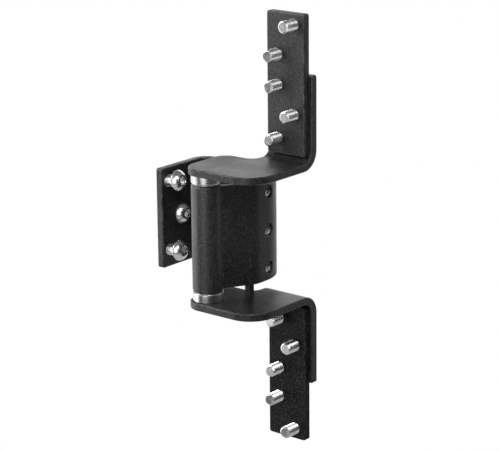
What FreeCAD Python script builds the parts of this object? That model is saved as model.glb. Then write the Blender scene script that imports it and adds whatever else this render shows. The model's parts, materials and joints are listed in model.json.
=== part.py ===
"""Concealed door hinge with a gooseneck leaf.

Two mirrored angle brackets are screwed to the door frame, one above and one below
the barrel. Each is a flat arm bent up into a leaf that carries a longer strap. A
turned pivot pin stands on each arm and runs in a bronze bush in the barrel tube.
The gooseneck leaf is welded to the barrel, and its flat end takes the door screws.

Millimetres. The origin is on the swing axis at half height. +Z is up, +X runs from
the barrel towards the frame-side straps, and +Y points at the door leaf's flat end.
"""

import FreeCAD, Part
import math
import os

from FreeCAD import Vector

# Sheet metal
sheet_thickness = 5.0
edge_chamfer = 0.5
corner_round = 1.6

# Bracket arm, seen from above
arm_gap = 84.0
arm_end_radius = 11.5
arm_outer_edge = 48.3
arm_outer_corner = 18.0
arm_neck_edge = 31.0
arm_hump_radius = 10.0
arm_throat_radius = 7.0

# Bracket leaf
leaf_face_x = 47.5
leaf_width = 35.0
leaf_tip_z = 103.0
bracket_bend_radius = 7.5

# Strap
strap_thickness = 5.0
strap_width = 30.0
strap_length = 92.0
strap_lift = 3.5
toe_slope = 0.55
toe_clearance = 0.3

# Countersunk screws through the strap, from the outer end inwards
strap_screw_radius = 4.0
strap_screw_head_radius = 6.8
strap_screw_edge = 7.3
strap_screw_pitch = 20.0
strap_screw_inner_pitch = 18.0
strap_screw_last_pitch = 16.5
strap_screw_stagger = 6.5
short_screw_length = 16.0
long_screw_length = 20.0
screw_clearance = 0.05
strap_socket_flats = 5.0
strap_socket_depth = 2.6
strap_screw_tip = 1.2

# Barrel, bushes and pivots
barrel_radius = 10.0
barrel_bore_radius = 7.5
barrel_length = 70.4
barrel_chamfer = 0.8
bush_length = 24.0
bush_clearance = 0.02
pivot_radius = 6.0
pivot_clearance = 0.05
pivot_length = 26.0
pivot_tip_chamfer = 1.0
pivot_seat_depth = 4.0
seat_end_gap = 0.5
collar_radius = 10.0
collar_round = 0.8
collar_base_chamfer = 0.3
washer_thickness = 0.6
washer_radius = 9.3
axial_play = 0.3

# Gooseneck leaf
leaf_height = 68.0
neck_heading = -30.5
neck_offset = 5.7
neck_bend_radius = 10.0
front_face_y = -21.0
front_bend_radius = 22.0
web_face_x = 62.5
back_bend_radius = 7.0
door_face_y = 55.6
door_end_x = 13.8

# Weld beads
weld_leg = 5.6
outer_weld_foot = 1.5
inner_weld_foot = 4.0
weld_bulge = 0.9
weld_length = 47.0

# Adjuster screws in the front bend
adjuster_radius = 4.0
adjuster_length = 6.0
adjuster_recess = 1.3
adjuster_turn = 4.3
adjuster_pitch = 25.5
adjuster_mouth = 0.5
adjuster_flats = 4.0
adjuster_socket = 3.0

# Door screws
door_screw_radius = 4.0
door_screw_length = 16.0
door_head_radius = 7.0
door_head_height = 4.4
door_head_flat_radius = 3.9
door_socket_flats = 5.0
door_socket_depth = 2.7
door_outer_column = 20.5
door_inner_column = 34.0
door_screw_spread = 23.5
door_screw_rise = 1.2
door_screw_proud = 8.5

# Stop pin
stop_radius = 3.0
stop_clearance = 0.15
stop_bearing = -105.5
stop_overlap = 4.0
stop_chamfer = 0.5

# Heights worked out from the sizes above
arm_inner_z = arm_gap / 2
arm_outer_z = arm_inner_z + sheet_thickness
collar_height = (arm_gap - barrel_length) / 2 - washer_thickness - axial_play
leaf_back_x = leaf_face_x + sheet_thickness
strap_face_x = leaf_face_x - strap_thickness
strap_bottom_z = arm_outer_z + strap_lift
strap_top_z = strap_bottom_z + strap_length
strap_screw_steps = (strap_screw_edge, strap_screw_pitch, strap_screw_pitch,
                     strap_screw_inner_pitch, strap_screw_last_pitch)
strap_screw_sides = (-1, 1, 1, -1, 1)
leaf_inner_edge_y = leaf_width - arm_outer_edge
strap_middle_y = leaf_width / 2 - arm_outer_edge


def arc_edge(centre, radius, start, end, lift=0.0):
    """Arc from the start to the end angle, in degrees, in a plane of constant Z."""
    points = []
    for angle in (start, (start + end) / 2, end):
        turn = math.radians(angle)
        points.append(Vector(centre[0] + radius * math.cos(turn), centre[1] + radius * math.sin(turn), lift))
    return Part.Arc(*points).toShape()


def joined_face(edges):
    """Face bounded by the edges, with straight lines across any gap between them."""
    closed = []
    for index, edge in enumerate(edges):
        closed.append(edge)
        following = edges[(index + 1) % len(edges)]
        end = edge.valueAt(edge.LastParameter)
        start = following.valueAt(following.FirstParameter)
        if end.distanceToPoint(start) > 1e-7:
            closed.append(Part.makeLine(end, start))
    return Part.Face(Part.Wire(closed))


def hexagon_prism(flats, depth):
    """Hexagonal prism on the Z axis, from the origin upwards."""
    corner = flats / math.sqrt(3)
    points = []
    for index in range(7):
        turn = math.radians(60 * index)
        points.append(Vector(corner * math.cos(turn), corner * math.sin(turn), 0))
    return Part.Face(Part.makePolygon(points)).extrude(Vector(0, 0, depth))


def turned(profile):
    """Solid of revolution about Z from (radius, height) points that start on the axis."""
    points = [Vector(radius, 0, height) for radius, height in profile]
    points.append(points[0])
    return Part.Face(Part.makePolygon(points)).revolve(Vector(0, 0, 0), Vector(0, 0, 1), 360)


def long_edges(shape, shortest):
    """Edges at least as long as shortest, where two faces meet at a sharp angle."""
    found = []
    for edge in shape.Edges:
        if edge.Length < shortest:
            continue
        faces = shape.ancestorsOfType(edge, Part.Face)
        if len(faces) != 2:
            continue
        middle = edge.valueAt((edge.FirstParameter + edge.LastParameter) / 2)
        normals = []
        for face in faces:
            u, v = face.Surface.parameter(middle)
            normals.append(face.normalAt(u, v))
        if abs(normals[0].dot(normals[1])) < 0.9:
            found.append(edge)
    return found


def bracket_arm():
    """Flat arm of the upper bracket, from the pivot round to the start of the bend."""
    bend_start = leaf_back_x - bracket_bend_radius - sheet_thickness
    corner_x = arm_outer_corner - arm_end_radius
    corner_y = arm_outer_corner - arm_outer_edge
    hump_x = arm_neck_edge - arm_hump_radius
    hump_y = arm_end_radius - arm_hump_radius
    throat_x = arm_neck_edge + arm_throat_radius
    throat_y = leaf_inner_edge_y + arm_throat_radius
    edges = [
        arc_edge((corner_x, corner_y), arm_outer_corner, 270, 180, arm_inner_z),
        arc_edge((0, 0), arm_end_radius, 180, 90, arm_inner_z),
        arc_edge((hump_x, hump_y), arm_hump_radius, 90, 0, arm_inner_z),
        arc_edge((throat_x, throat_y), arm_throat_radius, 180, 270, arm_inner_z),
        Part.makeLine(Vector(bend_start, leaf_inner_edge_y, arm_inner_z),
                      Vector(bend_start, -arm_outer_edge, arm_inner_z)),
    ]
    return joined_face(edges).extrude(Vector(0, 0, sheet_thickness))


def bracket_leaf():
    """Bend and upright leaf of the upper bracket, as one section run along Y."""
    outer = bracket_bend_radius + sheet_thickness
    centre_x = leaf_back_x - outer
    centre_z = arm_inner_z + outer
    half = math.sqrt(0.5)
    y = -arm_outer_edge

    def bend(radius, first, last):
        middle = Vector(centre_x + radius * half, y, centre_z - radius * half)
        ends = [Vector(centre_x, y, centre_z - radius), Vector(centre_x + radius, y, centre_z)]
        return Part.Arc(ends[first], middle, ends[last]).toShape()

    edges = [
        bend(outer, 0, 1),
        Part.makeLine(Vector(leaf_back_x, y, leaf_tip_z), Vector(leaf_face_x, y, leaf_tip_z)),
        bend(bracket_bend_radius, 1, 0),
    ]
    leaf = joined_face(edges).extrude(Vector(0, leaf_width, 0))
    tip = [edge for edge in leaf.Edges
           if abs(edge.BoundBox.ZMin - leaf_tip_z) < 1e-6 and edge.BoundBox.XLength > edge.BoundBox.YLength]
    return leaf.makeFillet(corner_round, tip)


def strap_screw_places():
    """(Y, Z, reaches the bracket leaf) of each strap screw on the upper bracket."""
    places = []
    z = strap_top_z
    for step, side in zip(strap_screw_steps, strap_screw_sides):
        z -= step
        places.append((strap_middle_y + side * strap_screw_stagger, z, z < leaf_tip_z))
    return places


def strap_screw(y, z, through_leaf, clearance=0.0):
    """Countersunk screw that points along -X, or the hole for it when given a clearance."""
    head_x = leaf_back_x if through_leaf else leaf_face_x
    length = long_screw_length if through_leaf else short_screw_length
    shank = strap_screw_radius + clearance
    head = strap_screw_head_radius + clearance
    neck = head - shank
    if clearance:
        over = sheet_thickness
        body = turned([(0, -over), (head, -over), (head, 0), (shank, neck), (shank, length + over),
                       (0, length + over)])
    else:
        tip = strap_screw_tip
        body = turned([(0, 0), (head, 0), (shank, neck), (shank, length - tip), (shank - tip, length),
                       (0, length)])
        body = body.cut(hexagon_prism(strap_socket_flats, strap_socket_depth))
    body.rotate(Vector(0, 0, 0), Vector(0, 1, 0), -90)
    body.translate(Vector(head_x, y, z))
    return body


def upper_bracket():
    """Arm, bend and leaf in one piece, with the blind pivot seat and the screw holes."""
    bracket = bracket_arm().fuse(bracket_leaf()).removeSplitter()
    bracket = bracket.makeChamfer(edge_chamfer, long_edges(bracket, corner_round))
    seat = Part.makeCylinder(pivot_radius + bush_clearance, pivot_seat_depth, Vector(0, 0, arm_inner_z))
    bracket = bracket.cut(seat)
    for y, z, through_leaf in strap_screw_places():
        if through_leaf:
            bracket = bracket.cut(strap_screw(y, z, through_leaf, screw_clearance))
    return bracket


def upper_strap():
    """Strap on the front of the leaf, relieved at its toe to clear the inside of the bend."""
    relief = max(bracket_bend_radius - strap_lift, 0) + toe_clearance
    low_y = strap_middle_y - strap_width / 2
    outline = [
        Vector(strap_face_x, low_y, strap_bottom_z),
        Vector(leaf_face_x - toe_slope * relief, low_y, strap_bottom_z),
        Vector(leaf_face_x, low_y, strap_bottom_z + relief),
        Vector(leaf_face_x, low_y, strap_top_z),
        Vector(strap_face_x, low_y, strap_top_z),
    ]
    strap = Part.Face(Part.makePolygon(outline + outline[:1])).extrude(Vector(0, strap_width, 0))
    across = [edge for edge in strap.Edges
              if edge.BoundBox.XLength > 1 and edge.BoundBox.ZLength < 1e-6 and edge.BoundBox.YLength < 1e-6]
    strap = strap.makeFillet(corner_round, across)
    front = [edge for edge in long_edges(strap, corner_round) if edge.BoundBox.XMax < strap_face_x + 1e-6]
    strap = strap.makeChamfer(edge_chamfer, front)
    for y, z, through_leaf in strap_screw_places():
        strap = strap.cut(strap_screw(y, z, through_leaf, screw_clearance))
    return strap


def upper_pivot_pin():
    """Turned pin: a spigot in the arm, a collar under it and a shank down into the barrel."""
    top = arm_inner_z + pivot_seat_depth - seat_end_gap
    collar_low = arm_inner_z - collar_height
    bottom = arm_inner_z - collar_height - pivot_length
    collar = collar_radius
    base = collar_base_chamfer
    profile = [
        (0, top), (pivot_radius, top), (pivot_radius, arm_inner_z), (collar - base, arm_inner_z),
        (collar, arm_inner_z - base), (collar, collar_low), (pivot_radius, collar_low),
        (pivot_radius, bottom + pivot_tip_chamfer), (pivot_radius - pivot_tip_chamfer, bottom), (0, bottom),
    ]
    pin = turned(profile)
    lip = [edge for edge in pin.Edges
           if abs(edge.BoundBox.ZMin - collar_low) < 1e-6 and abs(edge.BoundBox.ZMax - collar_low) < 1e-6
           and edge.BoundBox.XMax > collar - 1e-6]
    return pin.makeFillet(collar_round, lip)


def upper_thrust_washer():
    """Thin dark washer between the collar and the end of the barrel."""
    high = arm_inner_z - collar_height
    low = high - washer_thickness
    bore = pivot_radius + pivot_clearance
    return turned([(bore, low), (washer_radius, low), (washer_radius, high), (bore, high)])


def upper_bush():
    """Bronze bush pressed into the barrel from its end."""
    high = barrel_length / 2
    outer = Part.makeCylinder(barrel_bore_radius - bush_clearance, bush_length, Vector(0, 0, high - bush_length))
    bore = Part.makeCylinder(pivot_radius + pivot_clearance, bush_length, Vector(0, 0, high - bush_length))
    return outer.cut(bore)


def barrel_tube():
    """Barrel tube with chamfered ends."""
    half = barrel_length / 2
    rim = barrel_radius - barrel_chamfer
    edge = half - barrel_chamfer
    return turned([(barrel_bore_radius, -half), (rim, -half), (barrel_radius, -edge), (barrel_radius, edge),
                   (rim, half), (barrel_bore_radius, half)])


def neck_point(offset, along):
    """Point at a distance along the neck, on the face at the given offset from the swing axis."""
    turn = math.radians(neck_heading)
    return Vector(offset * math.sin(turn) + along * math.cos(turn),
                  -offset * math.cos(turn) + along * math.sin(turn), 0)


def neck_bend_centre():
    """Centre of the bend where the straight neck turns into the front of the leaf."""
    outer = neck_bend_radius + sheet_thickness
    turn = math.radians(neck_heading)
    y = front_face_y + outer
    x = (math.cos(turn) * -y - (neck_offset - outer)) / -math.sin(turn)
    return Vector(x, y, 0)


def front_bend_centre():
    """Centre of the large bend from the front of the leaf into the web."""
    outer = front_bend_radius + sheet_thickness
    return Vector(web_face_x - outer, front_face_y + outer, 0)


def leaf_outline(face):
    """Edges of one face of the gooseneck from the barrel to its flat end; face is 0 or 1."""
    inset = face * sheet_thickness
    neck = neck_bend_centre()
    front = front_bend_centre()
    back_outer = back_bend_radius + sheet_thickness
    back = (web_face_x - back_outer, door_face_y - back_outer)
    root = neck_point(neck_offset - inset, 0)
    neck_radius = neck_bend_radius + sheet_thickness - inset
    front_radius = front_bend_radius + sheet_thickness - inset
    start_turn = neck_heading - 90
    first = arc_edge(neck, neck_radius, start_turn, -90)
    second = arc_edge(front, front_radius, -90, 0)
    third = arc_edge(back, back_outer - inset, 0, 90)
    end = Vector(door_end_x, door_face_y - inset, 0)
    runs = [
        Part.makeLine(root, first.valueAt(first.FirstParameter)), first,
        Part.makeLine(first.valueAt(first.LastParameter), second.valueAt(second.FirstParameter)), second,
        Part.makeLine(second.valueAt(second.LastParameter), third.valueAt(third.FirstParameter)), third,
        Part.makeLine(third.valueAt(third.LastParameter), end),
    ]
    return root, end, runs


def gooseneck_blank():
    """Bent sheet of the leaf before it is drilled, cut to the barrel's outside."""
    outer_root, outer_end, outer_runs = leaf_outline(0)
    inner_root, inner_end, inner_runs = leaf_outline(1)
    outline = outer_runs + [Part.makeLine(outer_end, inner_end)] + inner_runs[::-1]
    outline.append(Part.makeLine(inner_root, outer_root))
    face = Part.Face(Part.Wire(Part.__sortEdges__(outline)))
    face.translate(Vector(0, 0, -leaf_height / 2))
    sheet = face.extrude(Vector(0, 0, leaf_height))
    corners = [edge for edge in sheet.Edges
               if edge.BoundBox.XMax < door_end_x + 1e-6 and edge.BoundBox.YMin > 0
               and edge.BoundBox.ZLength < 1e-6]
    sheet = sheet.makeFillet(corner_round, corners)
    sheet = sheet.makeChamfer(edge_chamfer, rim_edges(sheet))
    barrel = Part.makeCylinder(barrel_radius, leaf_height, Vector(0, 0, -leaf_height / 2))
    return sheet.cut(barrel)


def rim_edges(sheet):
    """Long edges round the gooseneck's faces, leaving those that go into the barrel."""
    return [edge for edge in long_edges(sheet, corner_round)
            if edge.CenterOfMass.x ** 2 + edge.CenterOfMass.y ** 2 > barrel_radius ** 2]


def adjuster_frame(shape, z):
    """Turn a shape made along Z to point out of the front bend, with Z = 0 on its face."""
    centre = front_bend_centre()
    shape.rotate(Vector(0, 0, 0), Vector(1, 0, 0), 90)
    shape.translate(Vector(0, -(front_bend_radius + sheet_thickness), 0))
    shape.rotate(Vector(0, 0, 0), Vector(0, 0, 1), adjuster_turn)
    shape.translate(Vector(centre.x, centre.y, z))
    return shape


def adjuster_hole(z):
    """Tapped hole with a small countersunk mouth."""
    bore = adjuster_radius + screw_clearance
    mouth = adjuster_mouth
    deep = 2 * sheet_thickness
    return adjuster_frame(turned([(0, -deep), (bore, -deep), (bore, -mouth), (bore + mouth, 0),
                                  (bore + mouth, mouth), (0, mouth)]), z)


def adjuster_screw(z):
    """Socket set screw sunk below the leaf's front face."""
    high = -adjuster_recess
    low = high - adjuster_length
    soft = adjuster_mouth
    body = turned([(0, low), (adjuster_radius, low), (adjuster_radius, high - soft),
                   (adjuster_radius - soft, high), (0, high)])
    socket = hexagon_prism(adjuster_flats, adjuster_socket)
    socket.translate(Vector(0, 0, high - adjuster_socket))
    return adjuster_frame(body.cut(socket), z)


def door_screw_places():
    """(X, Z, gap under the head) of each door screw, with the name of its node."""
    return [
        ("door_screw_upper", door_outer_column, door_screw_rise + door_screw_spread, door_screw_proud),
        ("door_screw_middle", door_inner_column, 0.0, 0.0),
        ("door_screw_lower", door_outer_column, door_screw_rise - door_screw_spread, door_screw_proud),
    ]


def door_screw(x, z, proud):
    """Button head socket screw whose head stands off the flat end by the given gap."""
    rise = door_head_height
    low = -door_screw_length
    dome_centre = (rise ** 2 + door_head_flat_radius ** 2 - door_head_radius ** 2) / (2 * rise)
    dome_radius = math.hypot(door_head_radius, dome_centre)
    lean = math.sqrt(0.5)
    crown = Part.Arc(Vector(door_head_radius, 0, 0), Vector(dome_radius * lean, 0, dome_centre + dome_radius * lean),
                     Vector(door_head_flat_radius, 0, rise)).toShape()
    corners = [(door_head_flat_radius, rise), (0, rise), (0, low), (door_screw_radius, low),
               (door_screw_radius, 0), (door_head_radius, 0)]
    lines = Part.makePolygon([Vector(radius, 0, height) for radius, height in corners]).Edges
    screw = Part.Face(Part.Wire(lines + [crown])).revolve(Vector(0, 0, 0), Vector(0, 0, 1), 360)
    socket = hexagon_prism(door_socket_flats, door_socket_depth)
    socket.translate(Vector(0, 0, rise - door_socket_depth))
    screw = screw.cut(socket)
    screw.rotate(Vector(0, 0, 0), Vector(1, 0, 0), 90)
    screw.translate(Vector(x, door_face_y - sheet_thickness - proud, z))
    return screw


def leaf_plate():
    """Gooseneck leaf with its adjuster and door screw holes."""
    leaf = gooseneck_blank()
    for row in (-1, 0, 1):
        leaf = leaf.cut(adjuster_hole(row * adjuster_pitch))
    for _, x, z, _ in door_screw_places():
        hole = Part.makeCylinder(door_screw_radius + screw_clearance, 2 * sheet_thickness,
                                 Vector(x, door_face_y - 1.5 * sheet_thickness, z), Vector(0, 1, 0))
        leaf = leaf.cut(hole)
    return leaf


def weld_bead(side):
    """Fillet weld along the barrel on the outer (side 0) or inner (side 1) face of the neck."""
    offset = neck_offset - side * sheet_thickness
    foot = inner_weld_foot if side else outer_weld_foot
    away = 1 - 2 * side
    touch = math.sqrt(barrel_radius ** 2 - offset ** 2)
    on_neck = neck_point(offset, touch + weld_leg)
    contact = math.degrees(math.atan2(offset, touch))
    arc = away * math.degrees(foot / barrel_radius)
    turn = math.radians(neck_heading - contact - arc)
    on_barrel = Vector(barrel_radius * math.cos(turn), barrel_radius * math.sin(turn), 0)
    middle = (on_neck + on_barrel) * 0.5
    outward = Vector(on_neck.y - on_barrel.y, on_barrel.x - on_neck.x, 0).normalize()
    if outward.dot(middle - neck_point(offset, touch)) < 0:
        outward = outward * -1
    crown = Part.Arc(on_neck, middle + outward * weld_bulge, on_barrel).toShape()
    root = neck_point(offset - away * sheet_thickness / 4, touch - sheet_thickness / 4)
    face = Part.Face(Part.Wire([crown, Part.makeLine(on_barrel, root), Part.makeLine(root, on_neck)]))
    face.translate(Vector(0, 0, -weld_length / 2))
    bead = face.extrude(Vector(0, 0, weld_length))
    barrel = Part.makeCylinder(barrel_radius, leaf_height, Vector(0, 0, -leaf_height / 2))
    return bead.cut(barrel).cut(gooseneck_blank())


def stop_pin():
    """Pin in the lower arm that the inside of the neck bend closes against."""
    centre = neck_bend_centre()
    reach = neck_bend_radius - stop_radius - stop_clearance
    turn = math.radians(stop_bearing)
    x = centre.x + reach * math.cos(turn)
    y = centre.y + reach * math.sin(turn)
    low = -arm_outer_z
    high = stop_overlap - leaf_height / 2
    soft = stop_chamfer
    pin = turned([(0, low), (stop_radius, low), (stop_radius, high - soft), (stop_radius - soft, high), (0, high)])
    pin.translate(Vector(x, y, 0))
    return pin


def lower_bracket(bracket, pin):
    """The upper bracket mirrored, drilled through for the stop pin."""
    mirrored = mirror_down(bracket)
    middle = pin.BoundBox.Center
    hole = Part.makeCylinder(stop_radius + bush_clearance, 2 * sheet_thickness,
                             Vector(middle.x, middle.y, -arm_outer_z - sheet_thickness / 2))
    return mirrored.cut(hole)


def mirror_down(shape):
    """Mirror image below the middle plane."""
    return shape.mirror(Vector(0, 0, 0), Vector(0, 0, 1))


def hinge_parts():
    """Every piece of the hinge by its node name."""
    parts = {}
    bracket = upper_bracket()
    pin = stop_pin()
    parts["upper_bracket"] = bracket
    parts["lower_bracket"] = lower_bracket(bracket, pin)
    parts["stop_pin"] = pin
    for name, shape in (("strap", upper_strap()), ("pivot_pin", upper_pivot_pin()),
                        ("thrust_washer", upper_thrust_washer()), ("bush", upper_bush())):
        parts["upper_" + name] = shape
        parts["lower_" + name] = mirror_down(shape)
    for number, place in enumerate(strap_screw_places(), 1):
        screw = strap_screw(*place)
        parts["upper_strap_screw_%d" % number] = screw
        parts["lower_strap_screw_%d" % number] = mirror_down(screw)
    parts["barrel_tube"] = barrel_tube()
    parts["leaf_plate"] = leaf_plate()
    parts["outer_weld"] = weld_bead(0)
    parts["inner_weld"] = weld_bead(1)
    for name, row in (("top", 1), ("middle", 0), ("bottom", -1)):
        parts["adjuster_" + name] = adjuster_screw(row * adjuster_pitch)
    for name, x, z, proud in door_screw_places():
        parts[name] = door_screw(x, z, proud)
    return parts


def main():
    os.makedirs("parts", exist_ok=True)
    for name, shape in hinge_parts().items():
        solids = shape.Solids
        piece = solids[0] if len(solids) == 1 else Part.makeCompound(solids)
        print("%-22s solids %d  valid %s  volume %.1f" % (name, len(solids), piece.isValid(), piece.Volume))
        piece.exportStep("parts/%s.step" % name)


main()
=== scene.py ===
"""Finish of the concealed door hinge: coated plate, turned steel, threads and welds."""

import functools
import json
import math

import bmesh
import bpy
from bpy.props import FloatProperty, FloatVectorProperty, IntProperty, PointerProperty
from bpy.types import Operator, Panel, PropertyGroup
from mathutils import Matrix, Vector

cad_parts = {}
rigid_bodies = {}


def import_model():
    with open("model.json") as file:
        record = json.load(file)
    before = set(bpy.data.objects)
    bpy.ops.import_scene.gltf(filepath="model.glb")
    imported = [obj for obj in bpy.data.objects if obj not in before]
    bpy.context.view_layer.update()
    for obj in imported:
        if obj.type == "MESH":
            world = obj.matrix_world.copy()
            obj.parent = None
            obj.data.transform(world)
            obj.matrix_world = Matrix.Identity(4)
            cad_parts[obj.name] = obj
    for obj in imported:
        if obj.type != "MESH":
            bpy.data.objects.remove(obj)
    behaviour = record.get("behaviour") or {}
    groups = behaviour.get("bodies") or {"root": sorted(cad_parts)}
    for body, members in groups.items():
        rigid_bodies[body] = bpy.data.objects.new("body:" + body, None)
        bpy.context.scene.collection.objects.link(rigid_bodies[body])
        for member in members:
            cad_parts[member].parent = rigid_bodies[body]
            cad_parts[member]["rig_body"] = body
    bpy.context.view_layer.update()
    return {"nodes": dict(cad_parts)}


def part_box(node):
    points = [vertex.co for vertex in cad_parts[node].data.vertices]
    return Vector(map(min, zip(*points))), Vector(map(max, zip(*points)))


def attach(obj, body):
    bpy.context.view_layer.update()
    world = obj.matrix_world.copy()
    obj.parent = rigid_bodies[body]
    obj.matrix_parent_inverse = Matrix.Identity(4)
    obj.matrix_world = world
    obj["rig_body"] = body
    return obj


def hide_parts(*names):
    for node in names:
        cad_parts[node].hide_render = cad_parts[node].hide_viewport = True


bl_info = {
    "name": "Concealed Door Hinge",
    "version": (1, 0, 0),
    "blender": (4, 5, 0),
    "location": "View3D > Sidebar > Hinge",
    "description": "Dresses the hinge's plates, pivots, screws and welds, and sets its stage",
    "category": "Object",
}

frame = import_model()
NODES = frame["nodes"]
MM = 0.001
# Points of a mesh that are nearer than this are one
TOUCH = 1e-6

# Directions in the room: up, away behind the hinge, and to the left of the camera's view
UPRIGHT = Vector((0.0, 0.0, 1.0))
BEHIND = Vector((0.772, 0.635, 0.0))
LEFT = Vector((-0.635, 0.772, 0.0))

# How bright the parts of the room are in the hinge's gloss
BACKDROP_WHITE = 1.58
WINDOW_WHITE = 0.75
WINDOW_SILL = 0.40
ROOM_DIM = 0.045
CEILING_DIM = 0.16
GROUND_GLOW = 1.0
FLOOR_GLOW = 0.5

# Where each part of the room gives way to the next, in cosines of the angle to one of the directions
SILL_SPAN = (-0.08, 0.04)
WINDOW_SPAN = (-0.85, -0.30)
WALL_SPAN = (-0.16, 0.04)
CEILING_SPAN = (0.42, 0.60)
GROUND_SPAN = (-0.62, -0.42)

COATS = {
    # name: paleness of its colour, rubbing and painted highlight of its edges, added roughness, specular
    # level
    "Plate Coat": (1.0, 1.0, 0.0, 0.5),
    "Cut Edge Coat": (0.8, 1.0, 0.16, 0.3),
    "Bright Edge Coat": (1.5, 1.0, 0.02, 0.45),
    # Darker, duller copy of the plate coat for the lower strap: painted shade, as the lower strap gets less
    # light
    "Shaded Strap Coat": (0.45, 0.7, 0.12, 0.15),
    "Barrel Coat": (1.0, 1.0, 0.0, 0.72),
    "Weld Coat": (1.0, 0.25, 0.0, 0.5),
}

SIDES = ("upper", "lower")
SHEET = 5.0 * MM
# An arm starts this far below its strap and reaches this far from the barrel
ARM_DROP = 3.4 * MM
ARM_REACH = 35.0 * MM

# Screws: radius of every shank, step down to its thread, and chamfer of its head; then how much wider than
# its corners a socket's round mouth is, and how far down it tapers to them
SHANK_RADIUS = 4.0 * MM
SHANK_STEP = 0.4 * MM
HEAD_CHAMFER = 0.1 * MM
MOUTH_EXTRA = 0.15 * MM
MOUTH_EASE = 0.25 * MM
# Threads: widths of valley and crest as shares of the pitch, slope of the tip's chamfer, and reach of the
# tip into the thread's root
VALLEY_SHARE = 0.12
CREST_SHARE = 0.10
TIP_SLOPE = math.radians(34.0)
TIP_ROOT = 0.3 * MM

# Strap screws: degrees by which each tip is sawn out of square, and the turn of its low side
STRAP_SCREWS = ["%s_strap_screw_%d" % (side, number) for side in SIDES for number in range(1, 6)]
TIP_LEANS = (0.5, 4.2, 4.6, 1.2, 1.0, 5.0, 5.0, 0.5, 0.7, 0.5)
TIP_TURNS = (0.3, 3.1, 3.2, 3.3, 2.9, 3.1, 3.3, 0.5, 1.6, 1.9)

# Door screws: degrees by which each leans in its hole; rise of the head, radius of its flat crown, height
# at which the dome ends, and height of the rim below it
DOOR_SCREWS = ["door_screw_upper", "door_screw_middle", "door_screw_lower"]
DOOR_SCREW_LEANS = (9.0, 0.0, 5.0)
DOME_RISE = 4.4 * MM
CROWN_RADIUS = 3.9 * MM
DOME_FOOT = 0.5 * MM
RIM_HEIGHT = 0.4 * MM
DOME_STEPS = 8

# Adjusters: turn of the bend that holds them, and turn of each socket
ADJUSTERS = ["adjuster_top", "adjuster_middle", "adjuster_bottom"]
ADJUSTER_TURN = math.radians(4.3)
ADJUSTER_SPINS = (0.35, 0.9, 0.1)
ADJUSTER_CHAMFER = 0.5 * MM
# Heights from an adjuster's centre between which its lit steel band begins above and ends below; above and
# below this band the face is painted shade, for the shadow of the hole's rim and the dark lower rim
LIT_BAND_TOP = (0.7 * MM, -0.5 * MM)
LIT_BAND_FOOT = (-3.6 * MM, -2.8 * MM)
# Colour of the painted shade on the adjusters' faces: black and not metallic
ADJUSTER_SHADE_COLOUR = (0.012, 0.012, 0.012)

# Welds: heading and offset of the leaf's neck at the barrel; leg of a bead on the neck and feet of the outer
# and inner one on the barrel; length of its round ends and lumps; bow of its ripples; and its mesh's steps
NECK_HEADING = math.radians(-30.5)
NECK_OFFSET = 5.7 * MM
WELD_LEG = 5.9 * MM
WELD_FEET = (1.5 * MM, 4.0 * MM)
WELD_END = 3.5 * MM
WELD_LUMP = 1.5 * MM
WELD_BOW = 0.8 * MM
WELD_STEP = 0.25 * MM
WELD_COLUMNS = 14

# Steel: fineness along X, Y and Z of marks that run no way, and roundness of most edges
EVEN_MARKS = (900.0, 900.0, 900.0)
STEEL_EDGE = 0.25 * MM


@functools.cache
def corner(node, side):
    """Lowest (side 0) or highest (side 1) corner of a CAD node."""
    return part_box(node)[side]


# Sizes and colours that a user would change


class HingeCoatSettings(PropertyGroup):
    """Colours and grain of the black powder coat"""
    colour: FloatVectorProperty(
        name="Coat Colour", description="Colour of the powder coat", subtype="COLOR",
        size=3, min=0.0, max=1.0, default=(0.011, 0.011, 0.0115))
    grain_colour: FloatVectorProperty(
        name="Grain Colour", description="Colour of the light grains of the coat", subtype="COLOR",
        size=3, min=0.0, max=1.0, default=(0.065, 0.065, 0.066))
    dust_colour: FloatVectorProperty(
        name="Dust Colour", description="Colour of the few bright specks in the coat", subtype="COLOR",
        size=3, min=0.0, max=1.0, default=(0.10, 0.10, 0.10))
    # Paler colour on the edges: partly worn coat, partly painted highlight of the rounded edges
    rubbed_highlight_colour: FloatVectorProperty(
        name="Rubbed And Highlight Colour", description="Colour of the coat on its edges, for wear and painted highlight", subtype="COLOR",
        size=3, min=0.0, max=1.0, default=(0.30, 0.30, 0.30))
    roughness: FloatProperty(
        name="Roughness", description="Mean roughness of the coat", default=0.42, min=0.0, max=1.0,
        subtype="FACTOR")
    grain_size: FloatProperty(
        name="Grain Size", description="Distance between the bumps of the coat", default=1.1 * MM,
        min=0.0001, max=0.01, unit="LENGTH", precision=5)
    grain_height: FloatProperty(
        name="Grain Height", description="Height of the bumps of the coat", default=0.06 * MM,
        min=0.0, max=0.001, unit="LENGTH", precision=6)
    edge_radius: FloatProperty(
        name="Edge Radius", description="Roundness of the coated edges", default=0.7 * MM,
        min=0.0, max=0.01, unit="LENGTH", precision=5)


class HingeSteelSettings(PropertyGroup):
    """Colours of the bare metal"""
    colour: FloatVectorProperty(
        name="Steel Colour", description="Colour of the bright screws", subtype="COLOR",
        size=3, min=0.0, max=1.0, default=(0.86, 0.86, 0.87))
    ring_colour: FloatVectorProperty(
        name="Ring Colour", description="Colour of the turned collars", subtype="COLOR",
        size=3, min=0.0, max=1.0, default=(0.57, 0.57, 0.58))
    bronze: FloatVectorProperty(
        name="Bush Colour", description="Colour of the bronze bushes", subtype="COLOR",
        size=3, min=0.0, max=1.0, default=(0.50, 0.33, 0.16))
    roughness: FloatProperty(
        name="Roughness", description="Mean roughness of the bright steel", default=0.24, min=0.0, max=1.0,
        subtype="FACTOR")


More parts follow.
